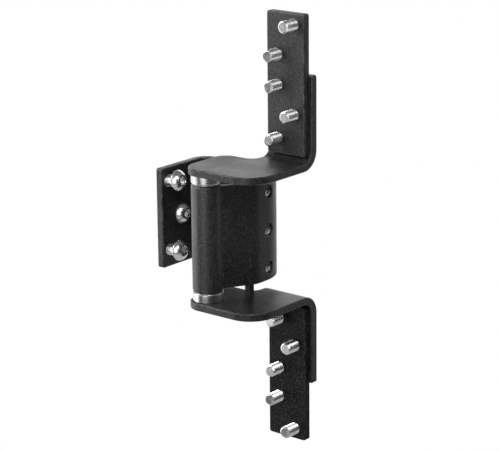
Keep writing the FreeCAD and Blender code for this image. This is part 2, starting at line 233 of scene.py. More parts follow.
class HingeScrewSettings(PropertyGroup):
    """Sizes of the threads and sockets"""
    pitch: FloatProperty(
        name="Thread Pitch", description="Rise of the thread in one turn", default=1.25 * MM,
        min=0.0003, max=0.01, unit="LENGTH", precision=5)
    depth: FloatProperty(
        name="Thread Depth", description="Depth of the thread below its crest", default=0.62 * MM,
        min=0.0001, max=0.005, unit="LENGTH", precision=5)
    tip_chamfer: FloatProperty(
        name="Tip Chamfer", description="Chamfer at the end of the thread", default=0.95 * MM,
        min=0.0, max=0.005, unit="LENGTH", precision=5)
    socket_flats: FloatProperty(
        name="Socket Width", description="Distance across the flats of the socket", default=5.0 * MM,
        min=0.001, max=0.02, unit="LENGTH", precision=5)
    socket_depth: FloatProperty(
        name="Socket Depth", description="Depth of the socket", default=2.6 * MM,
        min=0.0, max=0.02, unit="LENGTH", precision=5)
    adjuster_flats: FloatProperty(
        name="Adjuster Socket Width", description="Distance across the flats of the set screws' sockets",
        default=4.0 * MM, min=0.001, max=0.02, unit="LENGTH", precision=5)
    adjuster_depth: FloatProperty(
        name="Adjuster Socket Depth", description="Depth to which the set screws' sockets are open",
        default=0.6 * MM, min=0.0, max=0.02, unit="LENGTH", precision=5)
    plain_shank: FloatProperty(
        name="Plain Shank", description="Length of the door screws' shank without a thread",
        default=0.8 * MM, min=0.0, max=0.03, unit="LENGTH", precision=5)
    facets: IntProperty(
        name="Facets", description="Sides of each round", default=48, min=12, max=96)


class HingeWeldSettings(PropertyGroup):
    """Sizes of the ripples on the weld beads"""
    ripple_pitch: FloatProperty(
        name="Ripple Pitch", description="Distance between the ripples of the bead", default=1.9 * MM,
        min=0.0005, max=0.01, unit="LENGTH", precision=5)
    ripple_height: FloatProperty(
        name="Ripple Height", description="Height of the ripples of the bead", default=0.28 * MM,
        min=0.0, max=0.002, unit="LENGTH", precision=5)
    bulge: FloatProperty(
        name="Bulge", description="Rise of the bead's crown above the line between its toes",
        default=0.8 * MM, min=0.0, max=0.005, unit="LENGTH", precision=5)


class HingeStageSettings(PropertyGroup):
    """Floor, light and camera"""
    drop: FloatProperty(
        name="Floor Drop", description="Height of the hinge above the floor", default=0.18, min=0.0,
        max=1.0, unit="LENGTH")
    floor_radius: FloatProperty(
        name="Floor Radius", description="Radius of the round floor", default=0.4, min=0.2, max=5.0,
        unit="LENGTH")
    ambient: FloatProperty(
        name="Ambient Light", description="Strength of the even light from all sides", default=0.01,
        min=0.0, max=1.0)
    floor_colour: FloatVectorProperty(
        name="Floor Colour", description="Colour of the floor", subtype="COLOR", size=3, min=0.0, max=1.0,
        default=(0.93, 0.93, 0.93))
    lens: FloatProperty(
        name="Lens", description="Focal length of the camera", default=147.58 * MM, min=0.01, max=1.0,
        unit="CAMERA", precision=5)
    heading: FloatProperty(
        name="Heading", description="Turn of the view from the X axis", default=math.radians(39.424),
        subtype="ANGLE")
    pitch: FloatProperty(
        name="Pitch", description="Slope of the view below the horizon", default=math.radians(15.923),
        subtype="ANGLE")
    roll: FloatProperty(
        name="Roll", description="Turn of the camera about its own view", default=math.radians(-0.562),
        subtype="ANGLE")
    eye: FloatVectorProperty(
        name="Camera Place", description="Place of the camera", subtype="TRANSLATION", size=3,
        default=(-0.95646, -0.82184, 0.36734))


SETTINGS = {
    "hinge_coat": HingeCoatSettings,
    "hinge_steel": HingeSteelSettings,
    "hinge_screws": HingeScrewSettings,
    "hinge_welds": HingeWeldSettings,
    "hinge_stage": HingeStageSettings,
}


# Node helpers


def add_node(tree, kind, values=None, links=None, **fields):
    """Add a shader node with its fields, its socket values and the sockets that feed it."""
    node = tree.nodes.new(kind)
    for name, value in fields.items():
        setattr(node, name, value)
    for name, value in (values or {}).items():
        node.inputs[name].default_value = value
    for name, source in (links or {}).items():
        tree.links.new(source, node.inputs[name])
    return node


def math_node(tree, operation, first, second=None):
    """Output of a Math node whose operands are sockets or numbers."""
    node = tree.nodes.new("ShaderNodeMath")
    node.operation = operation
    for index, operand in enumerate((first, second)):
        if operand is None:
            continue
        if isinstance(operand, (int, float)):
            node.inputs[index].default_value = operand
        else:
            tree.links.new(operand, node.inputs[index])
    return node.outputs[0]


def span_node(tree, value, low, high, to_low=0.0, to_high=1.0, smooth=False):
    """Output of a Map Range node that takes low to high into to_low to to_high."""
    node = tree.nodes.new("ShaderNodeMapRange")
    if smooth:
        node.interpolation_type = "SMOOTHSTEP"
    tree.links.new(value, node.inputs["Value"])
    for name, number in (("From Min", low), ("From Max", high), ("To Min", to_low), ("To Max", to_high)):
        if isinstance(number, (int, float)):
            node.inputs[name].default_value = number
        else:
            tree.links.new(number, node.inputs[name])
    return node.outputs["Result"]


def new_group(name, inputs, outputs):
    """Empty shader node group with float inputs (name, default) and typed outputs (name, socket type)."""
    group = bpy.data.node_groups.new(name, "ShaderNodeTree")
    for label, default in inputs:
        socket = group.interface.new_socket(label, in_out="INPUT", socket_type="NodeSocketFloat")
        socket.default_value = default
    for label, kind in outputs:
        group.interface.new_socket(label, in_out="OUTPUT", socket_type=kind)
    return group, group.nodes.new("NodeGroupInput").outputs, group.nodes.new("NodeGroupOutput").inputs


def coat_grain_group():
    """Fine orange peel and dust of a powder coat: a height in metres and a speckle mask."""
    group, given, result = new_group(
        "Coat Grain", (("Size", 0.0007), ("Height", 0.00004)),
        (("Height", "NodeSocketFloat"), ("Speckle", "NodeSocketFloat"), ("Cloud", "NodeSocketFloat"),
         ("Dust", "NodeSocketFloat")))
    place = add_node(group, "ShaderNodeTexCoord").outputs["Object"]
    density = math_node(group, "DIVIDE", 1.0, given["Size"])
    peel = add_node(group, "ShaderNodeTexNoise", {"Detail": 2.0, "Roughness": 0.55},
                    {"Vector": place, "Scale": density})
    cells = add_node(group, "ShaderNodeTexVoronoi", {"Randomness": 1.0},
                     {"Vector": place, "Scale": math_node(group, "MULTIPLY", density, 1.7)})
    dust = add_node(group, "ShaderNodeTexNoise", {"Detail": 3.0, "Roughness": 0.7},
                    {"Vector": place, "Scale": math_node(group, "MULTIPLY", density, 0.9)})
    cloud = add_node(group, "ShaderNodeTexNoise", {"Detail": 3.0, "Roughness": 0.5, "Scale": 55.0},
                     {"Vector": place})
    specks = add_node(group, "ShaderNodeTexVoronoi", {"Randomness": 1.0},
                      {"Vector": place, "Scale": math_node(group, "MULTIPLY", density, 0.2)})
    pits = math_node(group, "MULTIPLY", cells.outputs["Distance"], 0.6)
    relief = math_node(group, "ADD", peel.outputs["Fac"], pits)
    group.links.new(math_node(group, "MULTIPLY", relief, given["Height"]), result["Height"])
    group.links.new(span_node(group, dust.outputs["Fac"], 0.47, 0.68), result["Speckle"])
    group.links.new(span_node(group, specks.outputs["Distance"], 0.04, 0.08, 1.0, 0.0), result["Dust"])
    group.links.new(span_node(group, cloud.outputs["Fac"], 0.35, 0.65), result["Cloud"])
    return group


def rub_highlight_edge_group():
    """Mask of the edges, broken up by noise, for coat that is worn there and for painted highlight on them.
    """
    group, given, result = new_group(
        "Rubbed Edge Highlight", (("Radius", 0.0007), ("Patch Size", 0.004), ("Strength", 1.0)),
        (("Mask", "NodeSocketFloat"), ("Edge", "NodeSocketFloat")))
    place = add_node(group, "ShaderNodeTexCoord").outputs["Object"]
    plain = add_node(group, "ShaderNodeNewGeometry").outputs["True Normal"]
    rounded = add_node(group, "ShaderNodeBevel", links={"Radius": given["Radius"]}, samples=6)
    facing = add_node(group, "ShaderNodeVectorMath", operation="DOT_PRODUCT")
    group.links.new(plain, facing.inputs[0])
    group.links.new(rounded.outputs["Normal"], facing.inputs[1])
    edge = span_node(group, facing.outputs["Value"], 0.995, 0.90)
    patches = add_node(group, "ShaderNodeTexNoise", {"Detail": 4.0, "Roughness": 0.65},
                       {"Vector": place, "Scale": math_node(group, "DIVIDE", 1.0, given["Patch Size"])})
    broken = span_node(group, patches.outputs["Fac"], 0.40, 0.62)
    mask = math_node(group, "MULTIPLY", math_node(group, "MULTIPLY", edge, broken), given["Strength"])
    group.links.new(mask, result["Mask"])
    group.links.new(edge, result["Edge"])
    return group


def turned_steel_group():
    """Tool marks of turned or rolled steel across the axis with the largest of the three scales."""
    group, given, result = new_group(
        "Turned Steel", (("Scale X", 200.0), ("Scale Y", 200.0), ("Scale Z", 4000.0), ("Height", 0.000004)),
        (("Height", "NodeSocketFloat"), ("Streak", "NodeSocketFloat"), ("Smudge", "NodeSocketFloat")))
    place = add_node(group, "ShaderNodeTexCoord").outputs["Object"]
    scales = add_node(group, "ShaderNodeCombineXYZ",
                      links={"X": given["Scale X"], "Y": given["Scale Y"], "Z": given["Scale Z"]})
    stretched = add_node(group, "ShaderNodeVectorMath", operation="MULTIPLY")
    group.links.new(place, stretched.inputs[0])
    group.links.new(scales.outputs["Vector"], stretched.inputs[1])
    marks = add_node(group, "ShaderNodeTexNoise", {"Scale": 1.0, "Detail": 3.0, "Roughness": 0.6},
                     {"Vector": stretched.outputs["Vector"]})
    smudge = add_node(group, "ShaderNodeTexNoise", {"Scale": 260.0, "Detail": 2.0}, {"Vector": place})
    group.links.new(math_node(group, "MULTIPLY", marks.outputs["Fac"], given["Height"]), result["Height"])
    group.links.new(span_node(group, marks.outputs["Fac"], 0.3, 0.7), result["Streak"])
    group.links.new(span_node(group, smudge.outputs["Fac"], 0.35, 0.7), result["Smudge"])
    return group


GROUP_MAKERS = {
    "Coat Grain": coat_grain_group,
    "Rubbed Edge Highlight": rub_highlight_edge_group,
    "Turned Steel": turned_steel_group,
}


def group_node(tree, name, values):
    """Place a shared group with its own values, building it the first time that it is asked for."""
    node = tree.nodes.new("ShaderNodeGroup")
    node.node_tree = bpy.data.node_groups.get(name) or GROUP_MAKERS[name]()
    for label, value in values.items():
        node.inputs[label].default_value = value
    return node


def new_material(name):
    """Material with a bare Principled shader; returns it with its tree and shader."""
    material = bpy.data.materials.new(name)
    material.use_nodes = True
    tree = material.node_tree
    tree.nodes.clear()
    shader = tree.nodes.new("ShaderNodeBsdfPrincipled")
    output = tree.nodes.new("ShaderNodeOutputMaterial")
    tree.links.new(shader.outputs["BSDF"], output.inputs["Surface"])
    return material, tree, shader


def mixed_colour(tree, mask, plain, other):
    """Colour that goes from plain to other with the mask; either may be a socket."""
    node = add_node(tree, "ShaderNodeMix", data_type="RGBA")
    tree.links.new(mask, node.inputs["Factor"])
    for socket, colour in ((node.inputs[6], plain), (node.inputs[7], other)):
        if isinstance(colour, bpy.types.NodeSocket):
            tree.links.new(colour, socket)
        else:
            socket.default_value = (*colour, 1.0)
    return node.outputs[2]


# Materials


def coat_material(settings, name):
    """One of the kinds of black powder coat in COATS, with a fine grain and paler edges for worn coat and
    painted highlight.
    """
    found = bpy.data.materials.get(name)
    if found:
        return found
    paleness, edge_rub_highlight, extra, shine = COATS[name]
    mean = settings.roughness + extra
    material, tree, shader = new_material(name)
    shader.inputs["Specular IOR Level"].default_value = shine
    grain = group_node(tree, "Coat Grain", {"Size": settings.grain_size, "Height": settings.grain_height})
    # The edge mask gives paler colour: worn coat and painted highlight of the rounded edges
    rubbed = group_node(tree, "Rubbed Edge Highlight", {"Radius": settings.edge_radius, "Strength": edge_rub_highlight})
    plain = [channel * paleness for channel in settings.colour]
    speckled = mixed_colour(tree, grain.outputs["Speckle"], plain, settings.grain_colour)
    dusty = mixed_colour(tree, grain.outputs["Dust"], speckled, settings.dust_colour)
    colour = mixed_colour(tree, rubbed.outputs["Mask"], dusty, settings.rubbed_highlight_colour)
    tree.links.new(colour, shader.inputs["Base Color"])
    rough = span_node(tree, grain.outputs["Cloud"], 0.0, 1.0, mean - 0.04, mean + 0.05)
    polish = math_node(tree, "MULTIPLY", rubbed.outputs["Edge"], 0.08)
    tree.links.new(math_node(tree, "SUBTRACT", rough, polish), shader.inputs["Roughness"])
    rounded = add_node(tree, "ShaderNodeBevel", {"Radius": settings.edge_radius}, samples=6)
    bump = add_node(tree, "ShaderNodeBump", {"Strength": 1.0, "Distance": 1.0},
                    {"Height": grain.outputs["Height"], "Normal": rounded.outputs["Normal"]})
    tree.links.new(bump.outputs["Normal"], shader.inputs["Normal"])
    return material


def steel_material(name, colour, roughness, scales, mark_height, edge_radius=STEEL_EDGE):
    """Bare metal with tool marks; scales says along which axis the marks are packed."""
    found = bpy.data.materials.get(name)
    if found:
        return found
    material, tree, shader = new_material(name)
    values = {"Scale X": scales[0], "Scale Y": scales[1], "Scale Z": scales[2], "Height": mark_height}
    marks = group_node(tree, "Turned Steel", values)
    dull = [channel * 0.82 for channel in colour]
    tree.links.new(mixed_colour(tree, marks.outputs["Smudge"], colour, dull), shader.inputs["Base Color"])
    shader.inputs["Metallic"].default_value = 1.0
    rough = span_node(tree, marks.outputs["Streak"], 0.0, 1.0, roughness - 0.05, roughness + 0.07)
    tree.links.new(rough, shader.inputs["Roughness"])
    rounded = add_node(tree, "ShaderNodeBevel", {"Radius": edge_radius}, samples=6)
    bump = add_node(tree, "ShaderNodeBump", {"Strength": 1.0, "Distance": 1.0},
                    {"Height": marks.outputs["Height"], "Normal": rounded.outputs["Normal"]})
    tree.links.new(bump.outputs["Normal"], shader.inputs["Normal"])
    return material


def screw_steel(settings):
    """Bright steel of the screws."""
    return steel_material("Screw Steel", settings.colour, settings.roughness, EVEN_MARKS, 3e-6, 0.07 * MM)


def dark_steel(settings):
    """Steel of the washers, with about a third of the screws' colour and rougher."""
    dark = [channel * 0.35 for channel in settings.colour]
    return steel_material("Darkened Washer Steel", dark, settings.roughness + 0.08, EVEN_MARKS, 6e-6)


def shaded_adjuster_steel(settings):
    """Steel of the set screws with painted shade: black on the upper part and the foot of each face, for the
    shadow of the hole's rim, and a speckled band of steel between them.
    """
    bright = [channel * 1.1 for channel in settings.colour]
    material = steel_material("Adjuster Steel With Painted Shade", bright, settings.roughness + 0.06,
                              (700.0, 700.0, 700.0), 60e-6)
    tree = material.node_tree
    shader = tree.nodes["Principled BSDF"]
    if shader.inputs["Metallic"].is_linked:
        return material
    pitch = corner("adjuster_top", 0).z - corner("adjuster_middle", 0).z
    centre = pitch / 2
    place = add_node(tree, "ShaderNodeTexCoord").outputs["Object"]
    height = add_node(tree, "ShaderNodeSeparateXYZ", links={"Vector": place}).outputs["Z"]
    over = math_node(tree, "MODULO", math_node(tree, "ADD", height, 1.5 * pitch), pitch)
    below = span_node(tree, over, centre + LIT_BAND_TOP[0], centre + LIT_BAND_TOP[1])
    above = span_node(tree, over, centre + LIT_BAND_FOOT[0], centre + LIT_BAND_FOOT[1])
    spots = add_node(tree, "ShaderNodeTexNoise", {"Scale": 900.0, "Detail": 2.0}, {"Vector": place})
    # Painted shade: steel shows only in the lit band between the shaded upper part and the shaded foot,
    # speckled by the spots
    lit_band = math_node(tree, "MULTIPLY", below, above)
    lit_speckle = math_node(tree, "MULTIPLY", lit_band, span_node(tree, spots.outputs["Fac"], 0.42, 0.58))
    steel = shader.inputs["Base Color"].links[0].from_socket
    tree.links.new(mixed_colour(tree, lit_speckle, ADJUSTER_SHADE_COLOUR, steel), shader.inputs["Base Color"])
    tree.links.new(lit_speckle, shader.inputs["Metallic"])
    return material


def ring_steel(settings):
    """Turned steel of the collars, with marks round the swing axis."""
    return steel_material("Turned Ring Steel", settings.ring_colour, settings.roughness + 0.04,
                          (60.0, 60.0, 5200.0), 3e-6)


def bush_bronze(settings):
    """Sintered bronze of the bushes."""
    return steel_material("Bush Bronze", settings.bronze, settings.roughness + 0.2,
                          (1500.0, 1500.0, 1500.0), 8e-6)


def dress(obj, material):
    """Give an object one material in place of those that it has."""
    obj.data.materials.clear()
    obj.data.materials.append(material)


# Mesh helpers


def keep_sharp(bm, angle=math.radians(32.0)):
    """Smooth the faces and mark the edges that turn by more than the angle."""
    for face in bm.faces:
        face.smooth = True
    for edge in bm.edges:
        edge.smooth = len(edge.link_faces) == 2 and edge.calc_face_angle(math.pi) < angle


def finished(bm, name, node, material):
    """Turn a bmesh into a piece that stands for a CAD node and moves with its body."""
    bmesh.ops.remove_doubles(bm, verts=bm.verts, dist=TOUCH / 10)
    bmesh.ops.recalc_face_normals(bm, faces=bm.faces)
    keep_sharp(bm)
    mesh = bpy.data.meshes.new(name)
    bm.to_mesh(mesh)
    bm.free()
    piece = bpy.data.objects.new(name, mesh)
    bpy.context.scene.collection.objects.link(piece)
    dress(piece, material)
    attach(piece, NODES[node]["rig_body"])
    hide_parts(node)
    return piece


def smooth_copy(node, material, cut=None, cut_material=None):
    """Merged copy of a CAD node with crisp edges, and a second finish where it was cut."""
    bm = bmesh.new()
    bm.from_mesh(NODES[node].data)
    bmesh.ops.remove_doubles(bm, verts=bm.verts, dist=TOUCH)
    bmesh.ops.recalc_face_normals(bm, faces=bm.faces)
    for face in bm.faces:
        face.material_index = int(cut is not None and cut(face.normal, face.calc_center_median()))
    piece = finished(bm, node + "_finish", node, material)
    if cut_material:
        piece.data.materials.append(cut_material)


def spun_profile(bm, points, facets):
    """Closed surface of revolution about Z through (radius, height) points."""
    verts = [bm.verts.new((radius, 0.0, height)) for radius, height in points]
    edges = [bm.edges.new(pair) for pair in zip(verts, verts[1:])]
    bmesh.ops.spin(bm, geom=verts + edges, cent=(0, 0, 0), axis=UPRIGHT, angle=2 * math.pi,
                   steps=facets, use_merge=True)


def ring_of(bm, height, radius):
    """Open edges that lie on a circle of that height and radius."""
    found = []
    for edge in bm.edges:
        if len(edge.link_faces) != 1:
            continue
        if all(abs(vert.co.z - height) < TOUCH and abs(vert.co.xy.length - radius) < 10 * TOUCH
               for vert in edge.verts):
            found.append(edge)
    return found


def mouth_of(flats):
    """Radius of the round mouth of a hexagonal socket."""
    return flats / math.sqrt(3) + MOUTH_EXTRA


def sink_socket(bm, top, flats, depth):
    """Hexagonal socket in its round mouth at the top of a spun head."""
    rim = ring_of(bm, top, mouth_of(flats))
    hexagon = bmesh.ops.create_circle(bm, segments=6, radius=flats / math.sqrt(3), cap_ends=False,
                                      matrix=Matrix.Translation((0, 0, top - MOUTH_EASE)))
    walls = list({edge for vert in hexagon["verts"] for edge in vert.link_edges})
    bmesh.ops.bridge_loops(bm, edges=rim + walls)
    grown = bmesh.ops.extrude_edge_only(bm, edges=walls)["geom"]
    floor_verts = [item for item in grown if isinstance(item, bmesh.types.BMVert)]
    floor_edges = [item for item in grown if isinstance(item, bmesh.types.BMEdge)]
    bmesh.ops.translate(bm, verts=floor_verts, vec=(0, 0, MOUTH_EASE - depth))
    bmesh.ops.contextual_create(bm, geom=floor_edges)


def absorb(bm, other):
    """Add another mesh to this one, and free it."""
    joined = bpy.data.meshes.new("joined")
    other.to_mesh(joined)
    other.free()
    bm.from_mesh(joined)
    bpy.data.meshes.remove(joined)


def flat_tip(bm, radius, bottom, settings, lean):
    """Flat chamfered end of a screw, sawn a little out of square, at the bottom of its thread."""
    face = radius - settings.tip_chamfer
    rise = settings.tip_chamfer * math.tan(TIP_SLOPE)
    root = radius - settings.depth
    tip = bmesh.new()
    spun_profile(tip, [(face, 0.0), (radius - 0.03 * MM, rise), (root, rise + TIP_ROOT)], settings.facets)
    for height, reach in ((0.0, face), (rise + TIP_ROOT, root)):
        bmesh.ops.contextual_create(tip, geom=ring_of(tip, height, reach))
    bmesh.ops.rotate(tip, verts=tip.verts, cent=(0, 0, 0), matrix=Matrix.Rotation(-lean, 3, "Y"))
    bmesh.ops.translate(tip, verts=tip.verts, vec=(0, 0, bottom + radius * math.sin(abs(lean))))
    absorb(bm, tip)


def cut_thread(bm, radius, length, settings, top=0.0, lean=0.0):
    """Closed helical thread on the Z axis, from top down over the length, with a flat tip that may lean."""
    pitch = settings.pitch
    root = radius - settings.depth
    valley = VALLEY_SHARE * pitch
    crest = CREST_SHARE * pitch
    middle = (valley + pitch) / 2
    turns = math.ceil(length / pitch) + 2
    bottom = top - length
    start = bottom - pitch
    section = [(root, 0.0), (root, valley), (radius, middle - crest / 2), (radius, middle + crest / 2),
               (root, pitch)]
    verts = [bm.verts.new((reach, 0.0, start + rise)) for reach, rise in section]
    edges = [bm.edges.new(pair) for pair in zip(verts, verts[1:])]
    steps = settings.facets
    bmesh.ops.spin(bm, geom=verts + edges, cent=(0, 0, 0), axis=UPRIGHT, dvec=(0, 0, pitch / steps),
                   angle=2 * math.pi * turns, steps=steps * turns)
    bmesh.ops.remove_doubles(bm, verts=bm.verts, dist=TOUCH)
    for height, facing in ((bottom + settings.tip_chamfer / 2, -UPRIGHT), (top, UPRIGHT)):
        base = Vector((0.0, 0.0, height))
        geom = list(bm.verts) + list(bm.edges) + list(bm.faces)
        bmesh.ops.bisect_plane(bm, geom=geom, plane_co=base, plane_no=facing, clear_outer=True)
        rim = [edge for edge in bm.edges if len(edge.link_faces) == 1
               and all(abs((vert.co - base).dot(facing)) < TOUCH for vert in edge.verts)]
        bmesh.ops.contextual_create(bm, geom=rim)
    flat_tip(bm, radius, bottom, settings, lean)


def head_and_thread(profile, top, length, settings, lean=0.0):
    """Mesh of a socket screw: a spun head and shank with a socket, and a thread below it."""
    head = bmesh.new()
    spun_profile(head, profile, settings.facets)
    sink_socket(head, top, settings.socket_flats, settings.socket_depth)
    under = min(point[1] for point in profile)
    neck = ring_of(head, under, profile[-1][0])
    bmesh.ops.contextual_create(head, geom=neck)
    thread = bmesh.new()
    cut_thread(thread, SHANK_RADIUS, length, settings, top=under + 0.1 * MM, lean=lean)
    absorb(head, thread)
    return head


def strap_cut(normal, centre):
    """True on the cut sides and ends of a strap."""
    return abs(normal.x) < 0.5


def bracket_cut(normal, centre):
    """True on the cut edges of a bracket's arm and leaf."""
    if abs(centre.z) < corner("upper_strap", 0).z - ARM_DROP and centre.x < ARM_REACH:
        return abs(normal.z) < 0.5
    return abs(normal.y) > 0.5 or abs(centre.z) > corner("upper_bracket", 1).z - MM


def leaf_cut(normal, centre):
    """True on the cut rims of the gooseneck leaf."""
    return abs(normal.z) > 0.5 or centre.x < corner("leaf_plate", 0).x + MM


def dome_profile(head_radius, mouth):
    """Profile of a button head from the mouth of its socket over the dome to near its foot."""
    centre_height = (DOME_RISE ** 2 + CROWN_RADIUS ** 2 - head_radius ** 2) / (2 * DOME_RISE)
    dome_radius = math.hypot(head_radius, centre_height)
    first = math.atan2(DOME_RISE - centre_height, CROWN_RADIUS)
    last = math.atan2(-centre_height + DOME_FOOT, head_radius)
    profile = [(mouth, DOME_RISE)]
    for step in range(DOME_STEPS + 1):
        turn = first + (last - first) * step / DOME_STEPS
        profile.append((dome_radius * math.cos(turn), centre_height + dome_radius * math.sin(turn)))
    return profile


def aim(bm, direction, place, spin=0.0):
    """Turn a mesh made along +Z to point along the direction, and move its origin to the place."""
    turn = direction.to_track_quat("Z", "Y").to_matrix().to_4x4() @ Matrix.Rotation(spin, 4, "Z")
    bmesh.ops.transform(bm, matrix=Matrix.Translation(place) @ turn, verts=bm.verts)


# Pieces

PLATES = {
    # node: test of its cut faces, finish of its rolled faces and of its cut ones
    "upper_bracket": (bracket_cut, "Plate Coat", "Cut Edge Coat"),
    "lower_bracket": (bracket_cut, "Plate Coat", "Cut Edge Coat"),
    "upper_strap": (strap_cut, "Plate Coat", "Cut Edge Coat"),
    # The lower strap wears the darker copy of the plate coat, as painted shade
    "lower_strap": (strap_cut, "Shaded Strap Coat", "Shaded Strap Coat"),
    "leaf_plate": (leaf_cut, "Plate Coat", "Bright Edge Coat"),
}


class HingePlates(Operator):
    """Coat the brackets, the straps and the gooseneck leaf"""
    bl_idname = "hinge.coat_plates"
    bl_label = "Coat Plates"

    def execute(self, context):
        settings = context.scene.hinge_coat
        for node, (cut, face, edge) in PLATES.items():
            smooth_copy(node, coat_material(settings, face), cut,
                        coat_material(settings, edge))
        return {"FINISHED"}


class HingeBarrel(Operator):
    """Coat the barrel and the stop pin"""
    bl_idname = "hinge.coat_barrel"
    bl_label = "Coat Barrel"

    def execute(self, context):
        material = coat_material(context.scene.hinge_coat, "Barrel Coat")
        smooth_copy("barrel_tube", material)
        smooth_copy("stop_pin", material)
        return {"FINISHED"}


class HingePivots(Operator):
    """Finish the pivot pins, the thrust washers and the bushes"""
    bl_idname = "hinge.finish_pivots"
    bl_label = "Finish Pivots"

    def execute(self, context):
        settings = context.scene.hinge_steel
        for side in SIDES:
            smooth_copy(side + "_pivot_pin", ring_steel(settings))
            smooth_copy(side + "_thrust_washer", dark_steel(settings))
            smooth_copy(side + "_bush", bush_bronze(settings))
        return {"FINISHED"}


class HingeStrapScrews(Operator):
    """Build the countersunk screws that stand out of the straps"""
    bl_idname = "hinge.build_strap_screws"
    bl_label = "Build Strap Screws"

    def execute(self, context):
        settings = context.scene.hinge_screws
        material = screw_steel(context.scene.hinge_steel)
        mouth = mouth_of(settings.socket_flats)
        for node, lean, turn in zip(STRAP_SCREWS, TIP_LEANS, TIP_TURNS):
            low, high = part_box(node)
            head_radius = (high.z - low.z) / 2
            cone = head_radius - SHANK_RADIUS
            profile = [(mouth, 0.0), (head_radius - HEAD_CHAMFER, 0.0), (head_radius, -HEAD_CHAMFER),
                       (SHANK_RADIUS, -cone - HEAD_CHAMFER),
                       (SHANK_RADIUS - SHANK_STEP, -cone - SHANK_STEP)]
            length = high.x - low.x - cone - SHANK_STEP
            bm = head_and_thread(profile, 0.0, length, settings, math.radians(lean))
            crown = Vector((high.x, (low.y + high.y) / 2, (low.z + high.z) / 2))
            aim(bm, Vector((1, 0, 0)), crown, spin=turn)
            finished(bm, node + "_threaded", node, material)
        return {"FINISHED"}


class HingeDoorScrews(Operator):
    """Build the button head screws in the leaf's flat end"""
    bl_idname = "hinge.build_door_screws"
    bl_label = "Build Door Screws"

    def execute(self, context):
        settings = context.scene.hinge_screws
        material = screw_steel(context.scene.hinge_steel)
        mouth = mouth_of(settings.socket_flats)
        shank_end = -settings.plain_shank
        for index, (node, lean) in enumerate(zip(DOOR_SCREWS, DOOR_SCREW_LEANS)):
            low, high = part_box(node)
            head_radius = (high.z - low.z) / 2
            profile = dome_profile(head_radius, mouth)
            profile += [(head_radius, RIM_HEIGHT), (head_radius, HEAD_CHAMFER),
                        (head_radius - HEAD_CHAMFER, 0.0), (SHANK_RADIUS, 0.0),
                        (SHANK_RADIUS, shank_end), (SHANK_RADIUS - 0.2 * MM, shank_end)]
            thread_length = high.y - low.y - DOME_RISE - settings.plain_shank
            bm = head_and_thread(profile, DOME_RISE, thread_length, settings)
            centre = (low + high) / 2
            aim(bm, Vector((0, -1, 0)), Vector((centre.x, low.y + DOME_RISE, centre.z)), spin=0.6 * index)
            hole = Vector((centre.x, corner("leaf_plate", 1).y - SHEET / 2, centre.z))
            askew = Matrix.Rotation(-math.radians(lean), 3, "X")
            bmesh.ops.rotate(bm, verts=bm.verts, cent=hole, matrix=askew)
            finished(bm, node + "_threaded", node, material)
        return {"FINISHED"}


class HingeAdjusters(Operator):
    """Build the socket set screws sunk in the leaf's front bend"""
    bl_idname = "hinge.build_adjusters"
    bl_label = "Build Adjusters"

    def execute(self, context):
        settings = context.scene.hinge_screws
        material = shaded_adjuster_steel(context.scene.hinge_steel)
        outward = Vector((math.sin(ADJUSTER_TURN), -math.cos(ADJUSTER_TURN), 0.0))
        for node, spin in zip(ADJUSTERS, ADJUSTER_SPINS):
            low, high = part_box(node)
            radius = (high.z - low.z) / 2
            length = (high.y - low.y - 2 * radius * math.sin(ADJUSTER_TURN)) / math.cos(ADJUSTER_TURN)
            profile = [(mouth_of(settings.adjuster_flats), 0.0), (radius - ADJUSTER_CHAMFER, 0.0),
                       (radius, -ADJUSTER_CHAMFER), (radius, -length)]
            bm = bmesh.new()
            spun_profile(bm, profile, settings.facets)
            sink_socket(bm, 0.0, settings.adjuster_flats, settings.adjuster_depth)
            bmesh.ops.contextual_create(bm, geom=ring_of(bm, -length, radius))
            aim(bm, outward, (low + high) / 2 + outward * length / 2, spin=spin)
            finished(bm, node + "_set_screw", node, material)
        return {"FINISHED"}


def bead_reach(height, half_length):
    """Share of the full width of a bead at a height: lumpy along its run and round at its ends."""
    run_out = max(abs(height) - half_length + WELD_END, 0.0) / WELD_END
    long_lumps = 0.09 * math.sin(height / WELD_LUMP + 0.9)
    short_lumps = 0.07 * math.sin(height / (0.37 * WELD_LUMP))
    return (0.86 + long_lumps + short_lumps) * math.sqrt(max(1.0 - run_out ** 2, 0.0))


def lay_bead(bm, side, half_length, settings):
    """Rippled bead on the outer (side 0) or inner (side 1) face of the neck, closed at its root."""
    radius = corner("barrel_tube", 1).x
    offset = NECK_OFFSET - side * SHEET
    along = Vector((math.cos(NECK_HEADING), math.sin(NECK_HEADING), 0.0))
    across = Vector((math.sin(NECK_HEADING), -math.cos(NECK_HEADING), 0.0))
    touch = math.sqrt(radius ** 2 - offset ** 2)
    contact = math.atan2(offset, touch)
    away = 1 - 2 * side
    foot = WELD_FEET[side]
    root = across * (offset - away * SHEET / 4) + along * (touch - SHEET / 4)
    corner_point = across * offset + along * touch
    rows = round(2 * half_length / WELD_STEP)
    bmesh.ops.create_grid(bm, x_segments=WELD_COLUMNS, y_segments=rows, size=0.5)
    for vert in bm.verts:
        share = vert.co.x + 0.5
        height = 2 * vert.co.y * half_length
        reach = bead_reach(height, half_length)
        turn = NECK_HEADING - contact - away * foot * reach / radius
        on_barrel = Vector((radius * math.cos(turn), radius * math.sin(turn), 0.0))
        on_neck = corner_point + along * WELD_LEG * reach
        outward = (on_neck + on_barrel) / 2 - root
        dome = 4 * share * (1 - share)
        wave = 0.5 + 0.5 * math.cos(2 * math.pi * (height + WELD_BOW * dome) / settings.ripple_pitch)
        lift = reach * (settings.bulge * dome + settings.ripple_height * wave * math.sqrt(dome))
        spot = on_barrel.lerp(on_neck, share) + outward.normalized() * lift
        vert.co = (spot.x, spot.y, height)
    border = [edge for edge in bm.edges if len(edge.link_faces) == 1]
    grown = bmesh.ops.extrude_edge_only(bm, edges=border)["geom"]
    for item in grown:
        if isinstance(item, bmesh.types.BMVert):
            item.co.xy = root.xy


